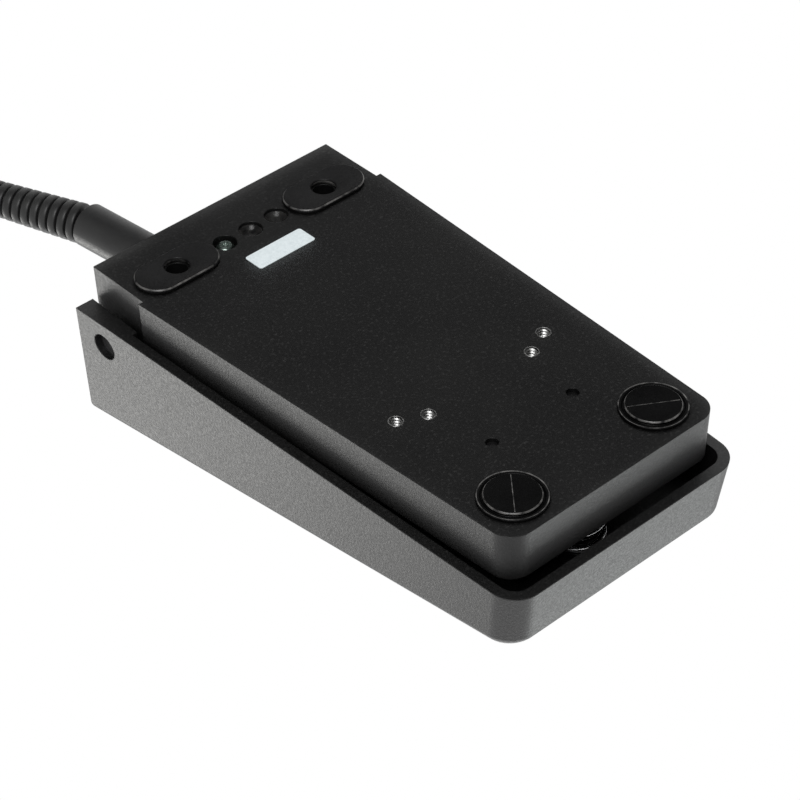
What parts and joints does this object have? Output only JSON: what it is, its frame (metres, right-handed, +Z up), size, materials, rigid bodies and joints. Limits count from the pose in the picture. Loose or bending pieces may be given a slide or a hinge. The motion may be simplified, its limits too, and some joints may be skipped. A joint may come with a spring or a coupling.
{
  "type": "foot pedal switch",
  "caption": "Low foot pedal switch: a wedge-shaped cast pedal hinged over a shallow cast base, with a return spring, a lever microswitch inside and a sleeved cable at the tall end.",
  "frame": {"origin": "on the floor, under the middle of the pedal and base without the cable", "axes": "+Z up when the pedal stands on its feet, +Y along its length towards the cable"},
  "size_m": [0.0929, 0.2847, 0.0354],
  "materials": {
    "casting": "satin powder coat",
    "pad_rubber": "matt",
    "tread_rubber": "matt",
    "buffer_rubber": "matt",
    "label_film": "bare label",
    "pin_steel": "ground",
    "clip_steel": "blackened",
    "bush_plastic": "smooth",
    "spring_steel": "drawn wire",
    "switch_plastic": "moulded",
    "plunger_plastic": "moulded",
    "lever_steel": "rolled strip",
    "contact_brass": "tinned",
    "bracket_steel": "zinc plated",
    "zinc_screws": "zinc plated",
    "board_laminate": "solder mask",
    "chip_plastic": "moulded",
    "clamp_plastic": "moulded",
    "sleeve_rubber": "satin",
    "cable_jacket": "satin",
    "wire_jacket": "satin",
    "plug_plastic": "satin",
    "plug_metal": "nickel plated",
    "tongue_plastic": "moulded"
  },
  "bodies": {
    "base": {"base_housing": "casting", "rear_pad_left": "pad_rubber", "rear_pad_right": "pad_rubber", "front_foot_left": "pad_rubber", "front_foot_right": "pad_rubber", "label_plate": "label_film", "hinge_pin": "pin_steel", "retaining_clip_left": "clip_steel", "retaining_clip_right": "clip_steel", "switch_case": "switch_plastic", "switch_cover": "switch_plastic", "terminal_common": "contact_brass", "terminal_open": "contact_brass", "terminal_closed": "contact_brass", "switch_bracket": "bracket_steel", "bracket_screws": "zinc_screws", "switch_screws": "zinc_screws", "switch_nuts": "zinc_screws", "circuit_board": "board_laminate", "board_screws": "zinc_screws", "controller_chip": "chip_plastic", "cable_header": "switch_plastic", "switch_header": "switch_plastic", "usb_leads": "wire_jacket", "switch_leads": "wire_jacket", "cable_sleeve": "sleeve_rubber", "bend_relief": "sleeve_rubber", "cable_clamp": "clamp_plastic", "clamp_screw": "zinc_screws", "inner_cable": "cable_jacket", "stop_buffer_left": "buffer_rubber", "stop_buffer_right": "buffer_rubber", "return_spring": "spring_steel", "cord_lead": "cable_jacket", "cord_coil": "cable_jacket", "cord_tail": "cable_jacket", "plug_body": "plug_plastic", "plug_shell": "plug_metal", "plug_tongue": "tongue_plastic"},
    "pedal": {"pedal_shell": "casting", "tread_mat": "tread_rubber", "hinge_bush_left": "bush_plastic", "hinge_bush_right": "bush_plastic", "actuator_screw": "zinc_screws", "actuator_nut": "zinc_screws"},
    "lever": {"switch_lever": "lever_steel"},
    "plunger": {"switch_plunger": "plunger_plastic"}
  },
  "joints": [
    {"name": "pedal_hinge", "type": "hinge", "parent": "base", "child": "pedal", "pos_m": [0, 0.04876, 0.0144], "axis": [1, 0, 0], "range_deg": [0, 3], "stiffness_Nm_per_rad": 12, "springref_deg": -2.58, "deforming": ["return_spring"]},
    {"name": "lever_hinge", "type": "hinge", "parent": "base", "child": "lever", "pos_m": [0, 0.01926, 0.0193], "axis": [1, 0, 0], "range_deg": [0, 8.6]},
    {"name": "plunger_slide", "type": "slide", "parent": "base", "child": "plunger", "axis": [0, 0, -1], "range_m": [0, 0.0009]}
  ],
  "couplings": [
    {"joint": "lever_hinge", "follows": "pedal_hinge", "ratio": 2.826},
    {"joint": "plunger_slide", "follows": "pedal_hinge", "m_per_rad": 0.01576}
  ]
}
